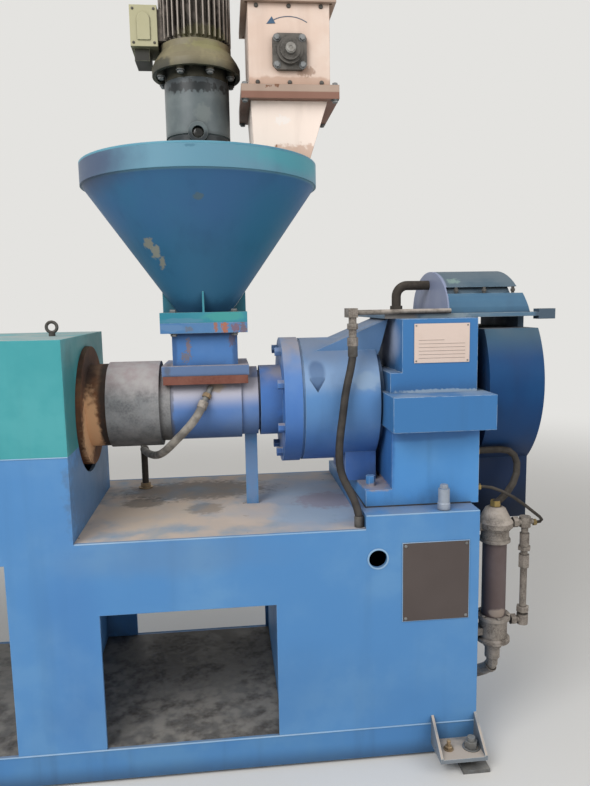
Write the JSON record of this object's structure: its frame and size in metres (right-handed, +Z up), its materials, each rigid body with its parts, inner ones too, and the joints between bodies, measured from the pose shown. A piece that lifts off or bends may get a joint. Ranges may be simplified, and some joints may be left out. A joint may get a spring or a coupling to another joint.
{
  "type": "plastic extruder",
  "caption": "Single screw plastic extruder: raised steel bed, covered barrel, conical hopper with agitator drive, rotary feeder, gearbox and belt guard.",
  "frame": {"origin": "centre of the whole outline on the floor, under the bed", "axes": "+X along the barrel from the die end to the gearbox, +Y away from the front, +Z up"},
  "size_m": [3.505, 0.92, 2.583],
  "materials": {
    "machine_blue": "satin enamel paint",
    "deck_blue": "worn enamel paint, dusty",
    "teal_paint": "satin enamel paint",
    "hopper_paint": "enamel paint",
    "rim_paint": "enamel paint",
    "guard_blue": "enamel paint",
    "grey_casting": "dusty machined iron",
    "rusty_iron": "rusted iron",
    "feed_blue": "worn enamel paint",
    "dark_panel": "matt grey paint",
    "bare_steel": "zinc plated, dulled",
    "plate_label": "bare plate",
    "drive_grey": "grey enamel, oily",
    "motor_olive": "olive grey enamel, dusty",
    "box_olive": "olive green enamel",
    "feeder_beige": "beige enamel, dusty",
    "bearing_iron": "greasy cast iron",
    "cooler_iron": "dark painted iron",
    "cooler_fittings": "galvanised, dusty",
    "black_hose": "matt rubber",
    "grey_hose": "dusty rubber"
  },
  "bodies": {
    "machine": {"bed_front": "machine_blue", "bed_back": "machine_blue", "base_rails": "machine_blue", "bed_cross_walls": "machine_blue", "bed_deck": "deck_blue", "bed_floor": "deck_blue", "raised_walls": "machine_blue", "gear_pad": "machine_blue", "foot_brackets": "machine_blue", "levelling_feet": "bare_steel", "access_panel": "dark_panel", "barrel_cover": "teal_paint", "cover_ring": "bare_steel", "barrel": "grey_casting", "barrel_saddles": "machine_blue", "die_flange": "grey_casting", "barrel_flange": "rusty_iron", "barrel_jacket": "grey_casting", "feed_housing": "feed_blue", "feed_bars": "rusty_iron", "throat_duct": "feed_blue", "throat_flange": "machine_blue", "support_post": "machine_blue", "drive_neck": "machine_blue", "lantern": "machine_blue", "gearbox_lower": "machine_blue", "gearbox_joint": "machine_blue", "gearbox_upper": "machine_blue", "nameplate": "plate_label", "top_plate": "machine_blue", "belt_guard": "guard_blue", "terminal_box": "machine_blue", "terminal_lid": "rim_paint", "cable_elbow": "cooler_fittings", "hopper_cone": "hopper_paint", "hopper_flange": "rim_paint", "hopper_lid": "rim_paint", "gear_unit": "drive_grey", "motor_flange": "motor_olive", "motor": "motor_olive", "motor_box": "box_olive", "feeder_housing": "feeder_beige", "feeder_flanges": "feeder_beige", "feeder_bearings": "bearing_iron", "feed_chute": "feeder_beige", "cooler_shell": "cooler_iron", "cooler_heads": "cooler_fittings", "cooler_bypass": "cooler_fittings", "cooler_elbow": "cooler_fittings", "oil_pipe": "cooler_fittings", "oil_hose": "black_hose", "oil_feed": "cooler_fittings", "cooling_barb": "bare_steel", "cooling_pipe": "cooler_fittings", "cooling_hose": "grey_hose"},
    "rotor": {"feeder_rotor": "bare_steel"}
  },
  "joints": [
    {"name": "feeder_turn", "type": "hinge", "parent": "machine", "child": "rotor", "pos_m": [0.9065, -0.03, 2.161], "axis": [0, -1, 0], "continuous": true}
  ]
}
